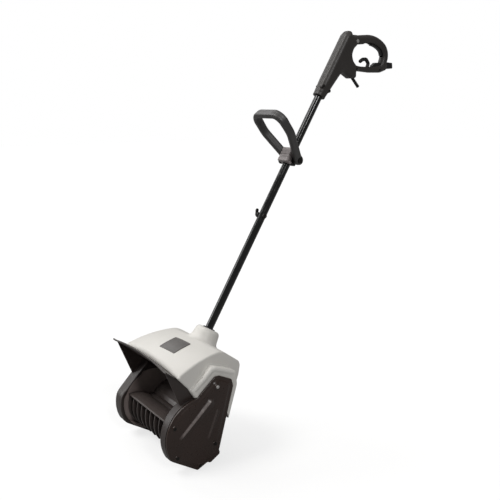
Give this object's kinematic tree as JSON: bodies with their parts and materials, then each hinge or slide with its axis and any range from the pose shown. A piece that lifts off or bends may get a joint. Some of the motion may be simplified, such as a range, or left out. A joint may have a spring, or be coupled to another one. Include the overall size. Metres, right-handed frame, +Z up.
{
  "type": "corded electric snow shovel",
  "caption": "Hand-held electric snow shovel: ribbed paddle rotor under a white hood with a flared throwing lip, side belt cover, jointed tube shaft, adjustable bail and trigger grip.",
  "frame": {"origin": "centre of the rear grip, where the hand holds the machine up", "axes": "+X across the head towards the belt cover, +Y rearward, away from the snow, +Z up, with the rotor's end plates and scraper on the ground at z = -1.117 m"},
  "size_m": [0.3197, 0.896, 1.1389],
  "materials": {
    "hood_white": "moulded warm white plastic with a fine satin grain",
    "black_plastic": "moulded brownish black plastic, satin",
    "grip_charcoal": "charcoal moulded plastic, fine grain",
    "tube_black": "gloss black powder coat on steel tube",
    "rubber_black": "black rubber",
    "motor_steel": "bare steel laminations and pressings",
    "scraper_black": "black painted steel strip",
    "bright_steel": "zinc plated steel"
  },
  "bodies": {
    "machine": {"hood_shell": "hood_white", "neck_collar": "hood_white", "neck_seal": "rubber_black", "neck_screw": "bright_steel", "throw_chamber": "black_plastic", "end_cap_left": "black_plastic", "end_lid_left": "black_plastic", "end_wall_right": "black_plastic", "belt_cover": "black_plastic", "cover_screws": "bright_steel", "scraper_blade": "scraper_black", "scraper_screws": "bright_steel", "rotor_bearing_left": "bright_steel", "rotor_bearing_right": "bright_steel", "drive_belt": "rubber_black", "motor_can": "motor_steel", "motor_bearing_rear": "bright_steel", "motor_bearing_drive": "bright_steel", "motor_bracket": "motor_steel", "tube_lower": "tube_black", "tube_upper": "tube_black", "tube_sleeve": "bright_steel", "tube_rivet": "bright_steel", "joint_bolt": "bright_steel", "supply_lead_inner": "rubber_black", "handle_shell_left": "grip_charcoal", "handle_shell_right": "grip_charcoal", "handle_screws": "bright_steel", "trigger_pin": "bright_steel", "trigger_spring": "bright_steel", "switch_body": "black_plastic", "lock_spring": "bright_steel", "cord_hook": "black_plastic", "cable_entry": "rubber_black"},
    "rotor": {"rotor_shaft": "bright_steel", "rotor_hub": "black_plastic", "rotor_paddle_a": "black_plastic", "rotor_paddle_b": "black_plastic", "rotor_pulley": "black_plastic"},
    "armature": {"motor_armature": "bright_steel", "motor_fan": "black_plastic", "motor_pulley": "bright_steel"},
    "wing_nut": {"joint_wing_nut": "grip_charcoal"},
    "bail_clamp": {"bail_clamp_front": "grip_charcoal", "bail_clamp_rear": "grip_charcoal", "bail_clamp_screws": "bright_steel", "bail_bolt": "bright_steel"},
    "bail": {"bail_handle": "grip_charcoal"},
    "knob": {"bail_knob": "grip_charcoal"},
    "trigger": {"trigger": "grip_charcoal"},
    "plunger": {"switch_plunger": "bright_steel"},
    "lock": {"lock_button": "black_plastic"}
  },
  "joints": [
    {"name": "rotor_spin", "type": "hinge", "parent": "machine", "child": "rotor", "pos_m": [0, -0.712, -1.0186], "axis": [1, 0, 0], "continuous": true},
    {"name": "motor_spin", "type": "hinge", "parent": "machine", "child": "armature", "pos_m": [0, -0.65, -0.8886], "axis": [1, 0, 0], "continuous": true},
    {"name": "wing_nut_turn", "type": "hinge", "parent": "machine", "child": "wing_nut", "pos_m": [-0.016, -0.41046, -0.49735], "axis": [1, 0, 0], "range_deg": [0, 720]},
    {"name": "bail_slide", "type": "slide", "parent": "machine", "child": "bail_clamp", "axis": [0, 0.5165, 0.8563], "range_m": [-0.12, 0.12]},
    {"name": "bail_tilt", "type": "hinge", "parent": "bail_clamp", "child": "bail", "pos_m": [0, -0.29837, -0.34541], "axis": [1, 0, 0], "range_deg": [-40, 50]},
    {"name": "knob_turn", "type": "hinge", "parent": "bail_clamp", "child": "knob", "pos_m": [-0.045, -0.29837, -0.34541], "axis": [1, 0, 0], "range_deg": [0, 720]},
    {"name": "trigger_pull", "type": "hinge", "parent": "machine", "child": "trigger", "pos_m": [0, -0.062, -0.0054], "axis": [1, 0, 0], "range_deg": [0, 4], "stiffness_Nm_per_rad": 6, "springref_deg": -2.86},
    {"name": "switch_press", "type": "slide", "parent": "machine", "child": "plunger", "axis": [0, 0, -1], "range_m": [0, 0.0034]},
    {"name": "lock_press", "type": "slide", "parent": "machine", "child": "lock", "axis": [-1, 0, 0], "range_m": [0, 0.0025], "stiffness_N_per_m": 800, "springref_m": -0.002}
  ],
  "couplings": [
    {"joint": "motor_spin", "follows": "rotor_spin", "ratio": 4},
    {"joint": "switch_press", "follows": "trigger_pull", "m_per_rad": 0.0465}
  ]
}
